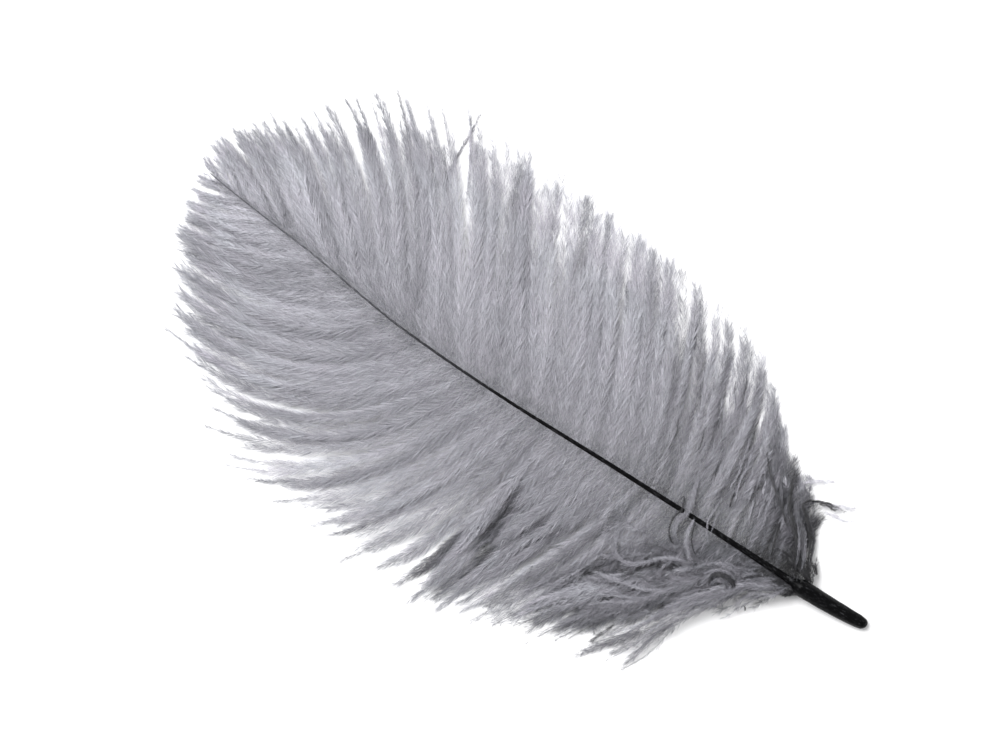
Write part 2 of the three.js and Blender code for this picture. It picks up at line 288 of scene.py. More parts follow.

# Partings, where a web opens on the barbs below it, painted with shade, and the pale edges beside them,
# painted with light: two ends, half the width at each end, and how much the tone changes
PARTINGS = [
    ((72.2, 12.5), (71.0, 30.0), 0.35, 1.9, -0.30),
    ((67.3, 15.9), (73.0, 27.6), 0.3, 0.7, -0.24),
    ((61.5, 12.3), (66.1, 22.8), 0.4, 0.7, -0.24),
    ((66.1, 22.8), (69.6, 32.4), 0.6, 0.8, -0.30),
    ((69.6, 32.4), (73.2, 44.0), 0.7, 0.9, -0.22),
    ((76.3, 31.0), (78.4, 44.0), 0.9, 1.2, -0.30),
    ((78.4, 14.9), (80.4, 21.5), 0.35, 0.5, -0.20),
    ((58.1, 15.4), (64.3, 25.4), 0.4, 0.6, -0.22),
    ((54.4, 9.4), (53.7, 15.7), 0.4, 0.6, -0.22),
    ((49.5, 17.2), (54.2, 27.4), 0.8, 0.9, -0.30),
    ((50.9, 17.4), (57.6, 36.4), 0.5, 0.6, 0.14),
    ((57.0, 33.0), (60.0, 41.0), 0.6, 0.7, -0.16),
    ((92.0, 5.5), (97.0, 14.0), 0.4, 0.6, -0.07),
    ((104.0, 16.0), (116.0, 24.5), 0.5, 0.9, -0.09),
    ((116.0, 24.5), (128.0, 27.5), 0.8, 0.5, -0.09),
    ((99.0, 20.0), (110.0, 28.0), 0.6, 0.8, -0.09),
    ((146.6, 7.9), (154.0, 10.6), 0.4, 0.4, -0.14),
    ((140.5, 6.7), (146.6, 7.9), 0.3, 0.4, -0.10),
    ((145.3, 14.2), (151.9, 16.5), 0.4, 0.4, -0.12),
    ((148.9, -1.6), (156.4, -4.9), 0.4, 0.4, -0.14),
    ((144.3, -1.6), (154.2, -5.1), 0.4, 0.4, -0.12),
    ((86.0, -24.9), (92.2, -37.6), 1.0, 1.5, -0.15),
    ((84.6, -30.5), (87.9, -36.8), 0.7, 0.7, -0.15),
    ((106.8, -24.1), (112.1, -31.8), 0.5, 0.6, -0.12),
    ((112.1, -31.8), (116.2, -34.4), 0.5, 0.5, -0.12),
    ((103.0, -23.1), (106.6, -34.2), 0.5, 0.6, -0.12),
    ((111.5, -21.3), (113.9, -24.2), 0.5, 0.5, -0.12),
    ((118.2, -26.0), (119.8, -30.0), 0.8, 0.6, -0.12),
    ((134.5, -22.0), (139.2, -30.0), 0.8, 0.8, -0.10),
    ((62.0, -16.0), (67.0, -28.0), 0.4, 0.5, -0.10),
    ((48.0, -8.0), (52.0, -20.0), 0.5, 0.6, -0.12),
    ((44.0, -10.0), (50.0, -26.0), 0.5, 0.6, -0.10),
]

# Loose strands that lie on the webs or curl over the rachis, as points of station, distance out
# (less than 0 on the right) and height over the web. Each is a bundle of barbs. The dark ones marked
# below are painted shade: dark barbs laid where partings, lock edges and creases lie in shadow.
# (number of barbs, width, tone, length of barbules, points)
RIGHT_STRANDS = [
    (6, 0.35, 0.04, 0.6, [(23.6, 0.2, 0.9), (24.6, -2.2, 1.1), (25.4, -4.6, 1.1), (25.9, -7, 0.7)]),
    (9, 0.7, 0.03, 0.7, [(17.2, -0.9, 0.9), (19.6, -3.6, 1.3), (21.6, -5.8, 1.6), (24, -8, 1.6),
     (26.4, -10.6, 1.4), (27.8, -13.6, 1.2), (29.4, -17, 0.9)]),
    (7, 0.55, 0.08, 0.6, [(15.6, -0.3, 0.6), (17.2, -4, 1), (19.2, -7.6, 1.4), (22.6, -10.8, 1.7),
     (24.2, -12.2, 1.9), (23.4, -13.5, 1.9), (20.8, -14.7, 1.8), (18.4, -16, 1.6)]),
    (7, 0.6, 0.22, 0.7, [(15.2, -0.3, 0.3), (16.9, -4.6, 0.5), (18.6, -8, 0.9), (21.8, -10.6, 1.2),
     (23.4, -12, 1.5), (22.6, -13.8, 1.6), (19.6, -15.4, 1.5), (16, -15.8, 1.2)]),
    (8, 1, 0.3, 0.9, [(16, -0.3, 0.6), (18.2, -3.6, 1.2), (20.2, -6.4, 1.5), (22.8, -9.2, 1.6),
     (24.8, -11, 1.5), (25.6, -12.8, 1.2), (25.4, -15, 0.9)]),
    (2, 0.3, 0.44, 0.5, [(18.6, -1.2, 1.2), (20, -4.2, 1.9), (21.8, -7, 2.1), (23.8, -9.4, 1.8)]),
    (2, 0.3, 0.38, 0.5, [(17.3, -1, 1), (18.4, -4, 1.7), (20.4, -7.4, 2), (22.6, -10, 1.8)]),
    (5, 0.6, 0.1, 0.8, [(21.6, -14, 2), (19.8, -15, 2), (18.6, -15, 1.9), (17.6, -16.4, 1.6)]),
    (3, 1.6, 0.8, 1.2, [(20.4, -14, 1.4), (17.4, -15.6, 1.2), (15.4, -16.6, 0.9), (14.2, -18, 0.6)]),
    (2, 1.4, 0.84, 1.2, [(19.8, -13.6, 1), (17.4, -14.4, 0.9), (15.2, -14.8, 0.7), (13.6, -15.8, 0.5)]),
    (12, 1.3, 0.03, 0.6, [(13.8, -0.2, 0.6), (16.4, -1.2, 0.5), (20, -1.9, 0), (25, -1.8, -0.3)]),
    (8, 0.9, 0.05, 0.6, [(14.4, -0.3, 0.7), (17.4, -2.2, 0.8), (21.4, -4.2, 0.7)]),
    (3, 0.35, 0.5, 1.2, [(116.4, -21, -0.3), (118.4, -27, 0), (119.4, -35.8, 0.1), (119.8, -40.4, 0)]),
    (3, 0.35, 0.52, 1.2, [(112, -23, -0.3), (116.4, -31, 0), (119.7, -35.8, 0.1), (123.1, -40, 0)]),
    # a dark strand: painted shade along a lock's edge
    (5, 0.35, 0.22, 0.9, [(24, -6.6, 1.2), (27, -9, 1.4), (30, -11.2, 1.4), (33.2, -13.8, 1.2),
     (36, -17, 0.9)]),
    # a dark strand: painted shade along a lock's edge
    (4, 0.3, 0.26, 0.9, [(27.2, -9.4, 1.2), (29.8, -12.6, 1.3), (32, -16.4, 1)]),
    (3, 1.2, 0.8, 1.2, [(26.2, -15.6, 1), (23.4, -18, 0.8), (20.6, -19.8, 0.5)]),
    (2, 0.25, 0.62, 0.6, [(39.4, -6.9, 1.2), (39.8, -5.4, 1.4), (40.5, -3.8, 1.3), (41.2, -2.3, 1)]),
    (3, 0.3, 0.58, 0.6, [(37.2, -13, 1), (37.4, -10.4, 1.2), (36.5, -6.5, 1.3), (35.6, -3.9, 1)]),
    # a dark strand: painted shade beside the pale strands above it
    (4, 0.3, 0.12, 0.5, [(36.9, -6.6, 1), (36.6, -5, 1.1), (36, -3, 0.9)]),
    (7, 1.2, 0.54, 2.2, [(44.6, -10, -0.4), (47.2, -15.6, -0.3), (50.2, -23, -0.2), (52.6, -29.6, 0)]),
    (5, 0.9, 0.58, 2.2, [(49.6, -12.5, -0.4), (53.2, -19.5, -0.3), (58.4, -27.8, 0)]),
]
LEFT_STRANDS = [
    # these two dark strands fill the wedge between two locks with painted shade
    (10, 1.3, 0.22, 0.7, [(73, 10.5, 0), (72.4, 16, 0.5), (71.9, 21, 0.7), (71.7, 26, 0.7), (72.2, 32, 0.4)]),
    (12, 1.7, 0.3, 0.8, [(71.2, 16, 0.2), (70.4, 20, 0.6), (70.4, 24, 0.6), (71.4, 30.6, 0.3)]),
    (4, 0.5, 0.46, 0.4, [(66.4, 15, 0.3), (68.6, 19, 0.8), (70.4, 23.6, 0.8), (72.4, 28, 0.5)]),
    (16, 2, 0.68, 0.7, [(75.2, 4, -0.3), (74.5, 13, 0.4), (74, 22, 1.1), (74.3, 31, 1.1), (76.6, 42, 0.4)]),
    # a dark line of painted shade between two locks
    (6, 0.4, 0.1, 0.5, [(60.6, 10.6, 0.1), (64, 17.2, 0.5), (65.8, 22.8, 0.6), (67.4, 27.9, 0.6),
     (69.3, 32.4, 0.5), (71.4, 38.6, 0.2)]),
    # a broad dark strand: painted shade between two locks
    (9, 1.7, 0.36, 1.2, [(75.8, 29, 0.2), (76.4, 33, 0.5), (77.2, 38, 0.4), (78, 42, 0.2)]),
    # three thin dark lines: painted shade along partings
    (3, 0.25, 0.12, 0.4, [(78.2, 13.6, 0.2), (79.4, 18, 0.5), (80.6, 22.4, 0.2)]),
    (3, 0.25, 0.12, 0.4, [(57.8, 14.6, 0.2), (61.8, 21.2, 0.5), (64.6, 25.8, 0.2)]),
    (3, 0.25, 0.14, 0.4, [(52, 11.6, 0.2), (54.6, 17.4, 0.4), (55.8, 20.6, 0.2)]),
    # a dark strand: painted shade in the parting beside the pale lock below it
    (10, 1.1, 0.22, 0.9, [(48.8, 15.4, 0.2), (51.2, 21, 0.6), (53.6, 27, 0.6), (55.2, 31, 0.3)]),
    (9, 1.1, 0.58, 0.7, [(50.6, 16, 0.3), (53.6, 24.6, 1), (56.4, 33.6, 0.8), (58.6, 39, 0.3)]),
    (8, 0.8, 0.5, 0.9, [(44.6, -5.6, 0.6), (43.5, -1, 1.1), (42.6, 2.1, 1.5), (43.2, 4.3, 1.6),
     (42.7, 6.2, 1.5), (41.4, 7.4, 1.3), (39.6, 7.6, 0.9)]),
    # a dark strand lying lower beside the pale one above it: its painted shadow
    (4, 0.3, 0.1, 0.4, [(44.9, -0.6, 0.9), (43.7, 2, 1.3), (44.2, 4.4, 1.4), (43.5, 6.8, 1.3),
     (41.8, 8.3, 1.1), (39.6, 8.4, 0.8)]),
    (6, 0.45, 0.57, 0.8, [(40.6, 1.8, 0.9), (40.2, 4.9, 1.6), (39.6, 6.5, 1.7), (38.3, 7.8, 1.7),
     (36.8, 9, 1.5), (34.7, 9.6, 1.1)]),
    # a dark strand lying lower beside the pale one above it: its painted shadow
    (3, 0.25, 0.12, 0.4, [(39.9, 2.6, 0.8), (39.4, 4.6, 1.3), (38.6, 6, 1.4), (37.4, 7.2, 1.3),
     (35.6, 8.2, 0.9)]),
    (2, 0.25, 0.52, 0.5, [(38.4, -4.4, 1), (38.4, -1.4, 1.3), (38.3, 0.8, 1.4), (37.6, 2.4, 1.7),
     (36.4, 3.8, 1.5), (35.2, 4.8, 1.1)]),
    (2, 0.25, 0.5, 0.5, [(37, -3.4, 1), (37.2, -0.6, 1.2), (36.6, 1.8, 1.5), (36, 3.7, 1.1)]),
    (5, 0.6, 0.57, 0.9, [(34.6, 8.8, 1), (36.8, 9.9, 1.5), (39.6, 11, 1.6), (41.8, 12.6, 1.6),
     (44, 15.3, 1.5), (46.2, 16.9, 1.4), (48.9, 16.8, 1.3), (51.2, 12.9, 1.4), (53.3, 8.4, 0.9)]),
    (5, 0.6, 0.57, 0.9, [(33.4, 14.6, 1), (36.6, 16.6, 1.5), (39.9, 18.7, 1.7), (43.6, 20, 1.7),
     (47.3, 21.1, 1.6), (52.4, 22.1, 1)]),
    (5, 0.6, 0.55, 0.9, [(34, 16, 1), (38.6, 20.4, 1.5), (43.6, 23.1, 1.6), (46.6, 24.6, 1.6),
     (49.3, 25.2, 1.5), (55.4, 30.4, 0.9)]),
    (5, 0.6, 0.55, 0.9, [(36, 18, 1), (41, 22.6, 1.5), (45.4, 26, 1.5), (49, 29.4, 0.9)]),
    (3, 0.35, 0.53, 0.8, [(32.8, 10.2, 2), (31.6, 8.2, 2.6), (29.9, 7.3, 2.7), (28.2, 7.1, 2.6),
     (26.4, 8.1, 2)]),
    (3, 0.3, 0.48, 0.8, [(33.6, 8, 1.7), (31.6, 6.7, 2.2), (29.4, 6.2, 2.3), (27.4, 6.2, 2.1),
     (25.6, 7, 1.7)]),
    (12, 0.8, 0.16, 0.8, [(31.4, 10.6, 1.8), (30.9, 8.7, 2.2), (28.9, 7.9, 2.3), (26.9, 8.4, 2.3),
     (25.9, 10, 2.3), (27, 11.8, 2.2), (29, 12.2, 2), (30.4, 11.4, 1.8)]),
    (9, 0.6, 0.38, 0.6, [(30.4, 11.4, 2), (30, 9.6, 2.3), (28.6, 9, 2.4), (27.4, 9.8, 2.4),
     (27.8, 11, 2.3), (29, 11, 2.1)]),
    # these six dark strands are painted shade in the creases between the pale strands
    (7, 0.9, 0.08, 1, [(34, 10.4, 0.7), (32.6, 11.6, 0.9), (31.2, 12.8, 0.9), (29.4, 13.2, 0.6)]),
    (8, 1.1, 0.08, 1.2, [(37, 11.2, 0.6), (39.6, 12.8, 0.9), (42.4, 14.2, 0.9), (44.8, 17.4, 0.8),
     (47.4, 19.6, 0.6)]),
    (6, 0.8, 0.08, 1.2, [(35.6, 18.8, 0.7), (35.2, 20.4, 1), (35.2, 22.7, 0.7)]),
    (6, 0.8, 0.1, 1.2, [(40.4, 20.6, 0.6), (43.4, 22, 0.8), (46.4, 23.2, 0.6)]),
    (5, 0.6, 0.2, 1.2, [(46, 28, 0.6), (47.6, 31, 0.8), (48.8, 34.4, 0.6)]),
    (5, 0.6, 0.24, 1.2, [(41, 28, 0.6), (42, 31, 0.8), (43.2, 34.4, 0.6)]),
    (3, 0.4, 0.52, 0.9, [(24.4, 3, 0.9), (27, 5, 1.2), (30.6, 6, 1.3), (33.6, 8.4, 1.2), (36.4, 12.4, 0.9)]),
    (9, 1.1, 0.03, 0.6, [(14.6, 1.3, 0.4), (17.4, 1.9, 0.2), (21, 2, 0), (26, 1.5, -0.3)]),
    (6, 0.22, 0.03, 0.3, [(22.3, 10.6, 1.3), (21.9, 11, 1.5), (21.6, 11.4, 1.3)]),
    (3, 0.4, 0.5, 1.4, [(21, 6.4, 0.9), (21.8, 9.4, 1), (23.4, 12.4, 0.7)]),
    (7, 1.5, 0.48, 1.5, [(35.6, 26, 0.3), (39.8, 31.8, 0.5), (43.9, 37.8, 0.5)]),
    (6, 1.6, 0.5, 1.5, [(33.2, 22, 0.3), (35.8, 28, 0.5), (38.3, 34.2, 0.5)]),
    (6, 1.4, 0.5, 1.4, [(31.6, 21, 0.3), (33.4, 28, 0.5), (35, 35.2, 0.5)]),
]

# Small tufts of down scattered over a patch of the webs: number, stations, distances out, heading in
# degrees (left of the tip's direction), its spread, length, how much a tuft curls, tone, its spread,
# and length of barbules
LEFT_TUFTS = [
    (24, (16.5, 25), (1.8, 5.5), 40, 9, (4, 9), 30, 0.42, 0.09, 0.9),
    (34, (13.8, 19), (1.8, 3.3), 44, 14, (2, 4.5), 14, 0.10, 0.04, 0.8),
    (34, (24, 38), (5, 15), 38, 30, (5, 9), 60, 0.42, 0.08, 1.3),
    (38, (34, 50), (9, 21), 42, 28, (6, 11), 50, 0.44, 0.07, 1.5),
    (40, (30, 54), (19, 31), 56, 18, (6, 11), 30, 0.47, 0.07, 1.6),
    (10, (23, 32), (8, 14), 48, 24, (4, 7), 50, 0.42, 0.08, 1.3),
    (14, (27, 48), (6, 22), 44, 24, (5, 9), 40, 0.28, 0.05, 0.9),
    (16, (53, 72), (6, 26), 76, 5, (8, 13), 8, 0.60, 0.05, 0.9),
    (14, (53, 72), (10, 28), 76, 5, (7, 12), 6, 0.40, 0.05, 0.7),
]
RIGHT_TUFTS = [
    (40, (13.8, 19), (-2, 0.2), -60, 14, (2, 4.5), 14, 0.10, 0.04, 0.8),
    (16, (14.6, 17.4), (0.3, 2.4), 5, 30, (2, 3.5), 20, 0.12, 0.06, 0.6),
    (30, (23, 45), (-10, -1.6), -80, 6, (6, 11), 10, 0.50, 0.05, 0.7),
    (34, (30, 60), (-20, -5), -71, 5, (8, 13), 12, 0.58, 0.05, 0.8),
    (40, (26, 52), (-13, -2), -77, 5, (6, 10), 10, 0.24, 0.06, 0.4),
    (26, (40, 75), (-24, -12), -66, 4, (7, 11), 8, 0.40, 0.06, 0.5),
    (10, (22, 30), (-15, -11), -66, 16, (3.5, 5), 20, 0.62, 0.08, 1.8),
]

# ---- barbs

BARB_PITCH = 0.74
POINTS = 26  # along each barb
BUNDLE_POINTS = 18  # along each barb of a strand or a tuft
TUFT_MARGIN = 1.0  # how far a tuft's end stays inside the webs' outline
LANDING = 0.86  # how far along a barb it comes down on the table
HANDLE = 0.36  # of a barb's length, for the curve's end directions
LOWEST = 0.03  # no fibre comes closer to the table
FORWARD = 0.35  # how far towards the tip a barb runs for each millimetre out, for the webs' height
LEFT_REACH = [(15, 6), (20, 10), (30, 21), (40, 33), (50, 41), (100, 47), (150, 22), (160, 4)]
RIGHT_REACH = [(15, 8), (20, 16), (30, 22), (40, 27), (60, 32), (110, 38), (140, 29), (160, 3)]
DOWNY_RISE = 1.4  # how much the sweeping down adds to the height of the left base
PARTING_DEPTH = 3  # how far a parting lowers the barbs, for each unit of tone
ROOT_JITTER, TIP_JITTER = 0.05, 0.5  # how far a barb's ends stray from their even places
LOCK_LAYER, OWN_LAYER = 0.35, 0.25  # how far locks, and barbs, lie above or below each other
LOCK_TONE, OWN_TONE = 0.02, 0.04  # and how far their tones differ
ROOT_PAINTED_SHADE, DOWN_SHADE = 0.08, 0.22  # painted shade at a barb's root, beside the rachis, and how much darker the root of the first down is
EDGE_PAINTED_LIGHT, LOCK_SHADE, SPIKE_PAINTED_SHADE = 0.06, 0.02, 0.20  # painted light at a lock's edges, a darker tone all over it, painted shade in its point
BED, BED_SPREAD = 0.2, 1.3  # the least height of a web over the table, and how much it differs
STRAND_BED, STRAND_DIP, STRAND_SWAY = 0.2, 0.5, 0.14  # least height, dip of the ends, and waves
TUFT_WAVE = 12  # degrees that a tuft sways from its heading


def ripple(rng, station, along, size, closeness=(1.1, 2.8)):
    """A smooth drift that neighbouring barbs share in part, so that they bunch and part again."""
    drift = 0
    for _ in range(4):
        turn = station * rng.uniform(*closeness) + along * rng.uniform(2, 8)
        drift = drift + np.sin(turn + rng.uniform(0, math.tau))
    return size * drift / 2


def directions(side, degrees):
    angle = np.radians(degrees)
    return np.stack([np.cos(angle), side * np.sin(angle)], axis=-1)


def curve_points(corners, along):
    """Points of many cubic curves at once: corners is (barbs, 4, 2), along is (barbs, points)."""
    rest = 1 - along
    weights = np.stack([rest**3, 3 * rest**2 * along, 3 * rest * along**2, along**3], axis=-1)
    return weights @ corners


def droop(along):
    """How the height of a barb falls from its root to where it lands."""
    return np.cos(math.pi / 2 * np.minimum(along / LANDING, 1)) ** 2


def web_reach(station, out):
    """About how far out the web on that side reaches."""
    return np.where(out > 0, table_value(LEFT_REACH, station), table_value(RIGHT_REACH, station))


def web_height(station, out):
    """About how high the webs lie over the table, from the droop of the barbs."""
    root = station - FORWARD * np.abs(out)
    downy = DOWNY_RISE * fade(out, 1.5, 6.0) * (1 - fade(station, 46, 54)) * (1 - fade(out, 26, 34))
    return shaft_height(root) * droop(np.abs(out) / web_reach(station, out)) + downy


def parted(flat, tone, height):
    """Lowers the barbs that lie in a parting and darkens them with painted shade, and lightens those at a
    pale edge with painted light. Also tells how far each place lies open, from 0 to 1."""
    opened = 0 * tone
    for start, end, first, last, change in PARTINGS:
        start, run = np.array(start), np.array(end) - np.array(start)
        share = np.clip(((flat - start) @ run) / (run @ run), 0, 1)
        away = np.linalg.norm(flat - start - share[..., None] * run, axis=-1)
        amount = np.exp(-((away / (first + (last - first) * share)) ** 4))
        # a change below 0 is painted shade, one above 0 is painted light
        tone = tone + change * amount
        height = height + min(change, 0) * amount * PARTING_DEPTH
        opened = np.maximum(opened, amount)
    return tone, height, opened


def course_across(flat):
    """The unit vector across each barb, to its left, in the plane of the table."""
    course = np.gradient(flat, axis=-2)
    course /= np.linalg.norm(course, axis=-1, keepdims=True)
    return np.stack([-course[..., 1], course[..., 0]], axis=-1)


def grow_web(web, rng, every=BARB_PITCH, wander=0.25, lift=None):
    """The barbs of one web: rows of points with a tone, and the length and number of barbules."""
    side = web["side"]
    roots = np.arange(*web["roots"], every)
    roots = roots + rng.normal(0, ROOT_JITTER, len(roots))
    count = len(roots)

    def by_root(key):
        return table_value(web[key], roots)[:, None]

    locks = np.array(web["locks"])
    nearest = np.abs(roots[:, None] - locks[:, 0])
    lock = nearest.argmin(axis=1)
    leader = np.zeros(count, bool)
    leader[nearest.argmin(axis=0)] = True
    full = locks[lock, 3][:, None]
    edge = np.abs(roots - locks[lock, 0]) / np.maximum(np.gradient(locks[:, 0])[lock] / 2, 0.4)
    edge = np.minimum(edge, 1.2)[:, None]

    own_tip = np.stack([np.interp(roots, locks[:, 0], locks[:, k]) for k in (1, 2)], axis=-1)
    own_tip += rng.normal(0, TIP_JITTER, own_tip.shape)
    lock_tip = locks[lock, 1:3]
    gather = by_root("gather")
    flip = np.array([1, side])
    start = np.stack([roots, shaft_out(roots) + side * 0.3 * shaft_radius(roots)], axis=-1)
    tip = (own_tip + (lock_tip - own_tip) * gather) * flip
    before = (own_tip + (lock_tip - own_tip) * gather**2) * flip
    length = np.linalg.norm(tip - start, axis=1, keepdims=True)
    leaving = start + HANDLE * length * directions(side, by_root("root_angle")[:, 0])
    arriving = before - HANDLE * length * directions(side, by_root("tip_angle")[:, 0])
    corners = np.stack([start, leaving, arriving, tip], axis=1)

    share = 1 - (1 - full) * rng.uniform(0.03, 0.17, (count, 1)) - rng.uniform(0, 0.03, (count, 1))
    share = share - by_root("notch") * edge**2 / length
    share[leader] = 1
    steps = np.linspace(0, 1, POINTS)
    along = np.clip(share, 0.3, 1) * steps
    flat = curve_points(corners, along)
    free = fade(along, 0.04, 0.35) * (1 - 0.5 * fade(along, 0.75, 1))
    drift = ripple(rng, roots[:, None], along, wander) + rng.normal(0, 0.10, (count, 1))
    waves, phase = rng.uniform(6, 15, (count, 1)), rng.uniform(0, math.tau, (count, 1))
    drift = drift + 0.5 * wander * np.sin(waves * along + phase)
    flat = flat + course_across(flat) * (drift * free)[..., None]

    height = shaft_height(roots)[:, None] * droop(along)
    if lift is not None:
        height = lift(roots, along)
    lock_layer = rng.normal(0, LOCK_LAYER, len(locks))[lock][:, None]
    own_layer = rng.normal(0, OWN_LAYER, (count, 1))
    height = height + (lock_layer + own_layer) * free

    lock_tone = rng.normal(0, LOCK_TONE, len(locks))[lock][:, None]
    own_tone = rng.normal(0, OWN_TONE, (count, 1)) + ripple(rng, roots[:, None], along, 0.02, (3, 6))
    tone = by_root("tone") + by_root("contrast") * (lock_tone + own_tone)
    # painted shade on each barb beside the rachis, and at its root
    tone = tone - web["painted_shaft_shade"] * (1 - fade(along, 0.0, 0.32))
    tone = tone - ROOT_PAINTED_SHADE * (1 - fade(along * length, 0.4, 3.0))
    tone = tone - DOWN_SHADE * (1 - fade(along * length, 1.0, 3.2)) * (1 - fade(roots[:, None], 17, 24))
    spike = by_root("spike") * fade(steps, 0.7, 0.95)
    # painted light at a lock's edges and painted shade in its point
    tone = tone + EDGE_PAINTED_LIGHT * edge**2 * fade(along, 0.45, 0.9) - LOCK_SHADE - SPIKE_PAINTED_SHADE * spike
    tone, height, opened = parted(flat, tone, height)
    bed = BED + rng.uniform(0, BED_SPREAD, (count, 1)) * (1 - 0.6 * fade(along, 0.8, 1))
    height = np.maximum(height, bed * fade(along, 0.0, 0.3))

    slim = 1 - 0.6 * (1 - full) * fade(along, 0.78, 0.94)
    fluff = by_root("fluff") * (0.55 + 0.45 * fade(along * length, 0, 7)) * slim * (1 - 0.3 * opened)
    fluff = fluff * (1 - (1 - by_root("blunt")) * fade(steps, 0.68, 1))
    return {
        "points": np.concatenate([flat, height[..., None]], axis=-1),
        "tone": tone,
        "fluff": fluff,
        "dense": 1 - by_root("thin") * fade(along, 0.55, 1.0),
        "along": along,
        "crisp": by_root("crisp") * (1 - fade(along, *web["crisp_ends"])),
        "splay": by_root("splay") * fade(along, 0.5, 0.9),
        "stem": 1 + 1.2 * spike,
    }


def add_bundle(barbs, rng, route, count, width, tone, fluff):
    """Adds a bundle of barbs along a route of points, which spreads a little in its middle."""
    steps = np.linspace(0, 1, BUNDLE_POINTS)
    span = np.concatenate([[0], np.cumsum(np.linalg.norm(np.diff(route, axis=0), axis=1))])
    for _ in range(count):
        start, end = rng.uniform(0, 0.10), rng.uniform(0.84, 1.0)
        at = (start + (end - start) * steps) * span[-1]
        line = np.stack([smooth_curve(at, span, route[:, k]) for k in range(3)], axis=-1)
        off, turn = rng.uniform(-0.5, 0.5), rng.uniform(-0.3, 0.3)
        sway = STRAND_SWAY * np.sin(steps * rng.uniform(5, 12) + rng.uniform(0, math.tau))
        aside = width * (off + turn * steps + sway) * (0.45 + 0.55 * np.sin(math.pi * steps))
        line[:, :2] += course_across(line[:, :2]) * aside[:, None]
        line[:, 2] += width * rng.uniform(-0.3, 0.3) - STRAND_DIP * (1 - np.sin(math.pi * steps)) ** 3
        line[:, 2] = np.maximum(line[:, 2], STRAND_BED)
        barbs["points"].append(line)
        barbs["tone"].append(tone + rng.normal(0, 0.05) + 0.03 * np.sin(steps * 9 + off * 20))
        barbs["fluff"].append(fluff * (0.5 + 0.5 * fade(steps, 0, 0.3)))
        barbs["dense"].append((1 - 0.5 * fade(steps, 0.6, 1)) / (0.8 + 0.5 * fluff))
        barbs["along"].append(steps)
        barbs["crisp"].append(0 * steps)
        barbs["splay"].append(0 * steps)
        barbs["stem"].append(1 + 0 * steps)


def grow_strands(strands, tufts, rng):
    """The barbs of the strands that are placed one by one, and of the scattered tufts."""
    barbs = {key: [] for key in ("points", "tone", "fluff", "dense", "along", "crisp", "splay", "stem")}
    for count, width, tone, fluff, points in strands:
        route = np.array(points, float)
        route[:, 2] += web_height(route[:, 0], route[:, 1])
        add_bundle(barbs, rng, route, count, width, tone, fluff)
    places = np.linspace(0, 1, 7)
    for number, stations, outs, heading, spread, lengths, curl, tone, tone_spread, fluff in tufts:
        stand = 1.0 if outs[0] > 0 else 0.5
        for _ in range(number):
            start = [rng.uniform(*stations), rng.uniform(*outs)]
            turn = heading + rng.normal(0, spread) + rng.normal(0, curl) * places
            angle = np.radians(turn + TUFT_WAVE * np.sin(places * 7 + rng.uniform(0, math.tau)))
            moves = np.stack([np.cos(angle), np.sin(angle)], axis=-1) * rng.uniform(*lengths) / 7
            flat = start + np.cumsum(moves, axis=0)
            if np.any(np.abs(flat[:, 1]) > web_reach(flat[:, 0], flat[:, 1]) - TUFT_MARGIN):
                continue
            lift = rng.uniform(0.3, 0.8) + rng.uniform(0.4, 1.0) * np.sin(math.pi * places)
            height = web_height(flat[:, 0], flat[:, 1]) + stand * lift
            route = np.concatenate([flat, height[:, None]], axis=1)
            own = tone + rng.normal(0, tone_spread)
            add_bundle(barbs, rng, route, rng.integers(1, 4), rng.uniform(0.2, 0.6), own, fluff)
    return {key: np.array(value) for key, value in barbs.items()}


# ---- meshes

def make_piece(name, points, faces, uv, material, slot, replaced):
    """One mesh piece of fibres, from points in millimetres, with its tone and run in its UV map."""
    mesh = bpy.data.meshes.new(name)
    mesh.vertices.add(len(points))
    mesh.vertices.foreach_set("co", ((points + ORIGIN) * MM).astype(np.float32).ravel())
    mesh.loops.add(faces.size)
    mesh.loops.foreach_set("vertex_index", faces.astype(np.int32).ravel())
    mesh.polygons.add(len(faces))
    mesh.polygons.foreach_set("loop_start", np.arange(0, faces.size, faces.shape[1], dtype=np.int32))
    layer = mesh.uv_layers.new(name="OFBake")
    layer.data.foreach_set("uv", uv[faces.ravel()].astype(np.float32).ravel())
    mesh.update(calc_edges=True)
    mesh.shade_smooth()
    mesh.materials.append(material)
    piece = bpy.data.objects.new(name, mesh)
    bpy.context.scene.collection.objects.link(piece)
    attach(piece, "root")
    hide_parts(replaced)


RAMUS_SIDES = 3
TONE_STEP = 0.004  # half the width that a fibre takes on the UV map
RAMUS_V = (0.55, 0.98)  # the part of the UV map that holds the barbs' stems
BARBULE_V = (0.02, 0.44)  # and the part that holds the barbules
DARKEST, PALEST = 0.02, 0.98


def frames_along(points):
    """Unit vectors along each barb, across it and up from it."""
    ahead = np.gradient(points, axis=1)
    ahead /= np.linalg.norm(ahead, axis=2, keepdims=True)
    left = np.cross(np.array([0.0, 0.0, 1.0]), ahead)
    left /= np.linalg.norm(left, axis=2, keepdims=True)
    return ahead, left, np.cross(ahead, left)


